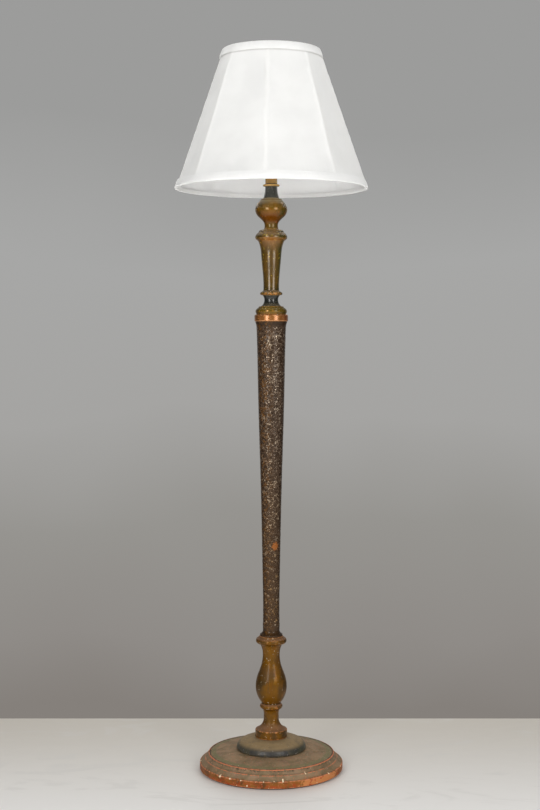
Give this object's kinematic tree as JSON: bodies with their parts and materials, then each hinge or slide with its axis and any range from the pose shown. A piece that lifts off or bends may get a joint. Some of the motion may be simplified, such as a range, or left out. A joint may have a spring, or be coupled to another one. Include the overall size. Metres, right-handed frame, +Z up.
{
  "type": "floor lamp",
  "caption": "Candlestick floor lamp: round weighted base, turned and textured column, fabric shade on a harp, socket with bulb and turn switch.",
  "frame": {"origin": "on the floor, on the lamp's axis", "axes": "+Z up along the column, -Y towards the front of the picture's view, +X to its right; the switch key points to -Y and the cord outlet to +Y"},
  "size_m": [0.4203, 0.4204, 1.575],
  "materials": {
    "felt": "matt brown felt",
    "iron": "rough cast",
    "steel": "dull zinc plate",
    "base_paint": "turned wood, worn bronze paint over red",
    "dark_paint": "turned wood, worn black-green paint",
    "bronze_paint": "turned wood, aged bronze paint",
    "relief": "turned wood with a moulded gesso relief, aged bronze paint",
    "copper_paint": "turned wood, worn copper paint",
    "brass": "aged brass",
    "harp_metal": "brass plate",
    "bush": "dark brown moulded",
    "lead": "brown sheathed lead",
    "fibre": "pressed fibre",
    "moulding": "black phenolic",
    "contacts": "bright brass",
    "switch_metal": "plain",
    "bulb_metal": "bright",
    "solder": "dull solder",
    "black_glass": "glossy",
    "frosted_glass": "frosted",
    "clear_glass": "clear",
    "tungsten": "plain",
    "frame_wire": "white",
    "spider_metal": "brass plate",
    "lining": "smooth white lining",
    "cloth": "stretched white cloth",
    "tape": "folded white tape"
  },
  "bodies": {
    "stand": {"felt_pad": "felt", "base_weight": "iron", "weight_screws": "steel", "base_plinth": "base_paint", "base_riser": "dark_paint", "outlet_bushing": "bush", "inner_lead": "lead", "foot_nut": "steel", "foot_washer": "steel", "stem_pipe": "steel", "pedestal": "bronze_paint", "shaft": "relief", "shaft_collar": "copper_paint", "shaft_cap": "bronze_paint", "spool": "dark_paint", "trumpet": "bronze_paint", "knop": "bronze_paint", "neck": "dark_paint", "cup": "brass", "harp_saddle": "harp_metal", "saddle_nut": "steel", "harp": "harp_metal", "harp_stud": "brass", "socket_cap": "brass", "cap_screw": "steel", "socket_shell": "brass", "shell_liner": "fibre", "socket_body": "moulding", "terminal_screws": "steel", "screw_shell": "contacts", "centre_contact": "contacts"},
    "switch": {"switch_stem": "switch_metal", "switch_key": "bush"},
    "bulb": {"bulb_tip": "solder", "bulb_insulator": "black_glass", "bulb_base": "bulb_metal", "bulb_stem": "clear_glass", "filament": "tungsten", "bulb_glass": "frosted_glass"},
    "sleeve_left": {"sleeve_left": "brass"},
    "sleeve_right": {"sleeve_right": "brass"},
    "shade": {"shade_bottom_ring": "frame_wire", "shade_top_ring": "frame_wire", "shade_ribs": "frame_wire", "spider": "spider_metal", "shade_lining": "lining", "shade_cloth": "cloth", "bottom_trim": "tape", "top_trim": "tape"},
    "finial": {"finial": "brass"}
  },
  "joints": [
    {"name": "shade_turn", "type": "hinge", "parent": "stand", "child": "shade", "pos_m": [0, 0, 1.549], "axis": [0, 0, 1], "continuous": true},
    {"name": "finial_turn", "type": "hinge", "parent": "stand", "child": "finial", "pos_m": [0, 0, 1.556], "axis": [0, 0, 1], "range_deg": [0, 2880]},
    {"name": "bulb_turn", "type": "hinge", "parent": "stand", "child": "bulb", "pos_m": [0, 0, 1.362], "axis": [0, 0, 1], "range_deg": [0, 1080]},
    {"name": "switch_turn", "type": "hinge", "parent": "stand", "child": "switch", "pos_m": [0, -0.024, 1.346], "axis": [0, -1, 0], "continuous": true},
    {"name": "sleeve_left_slide", "type": "slide", "parent": "stand", "child": "sleeve_left", "axis": [0, 0, 1], "range_m": [0, 0.012]},
    {"name": "sleeve_right_slide", "type": "slide", "parent": "stand", "child": "sleeve_right", "axis": [0, 0, 1], "range_m": [0, 0.012]}
  ]
}
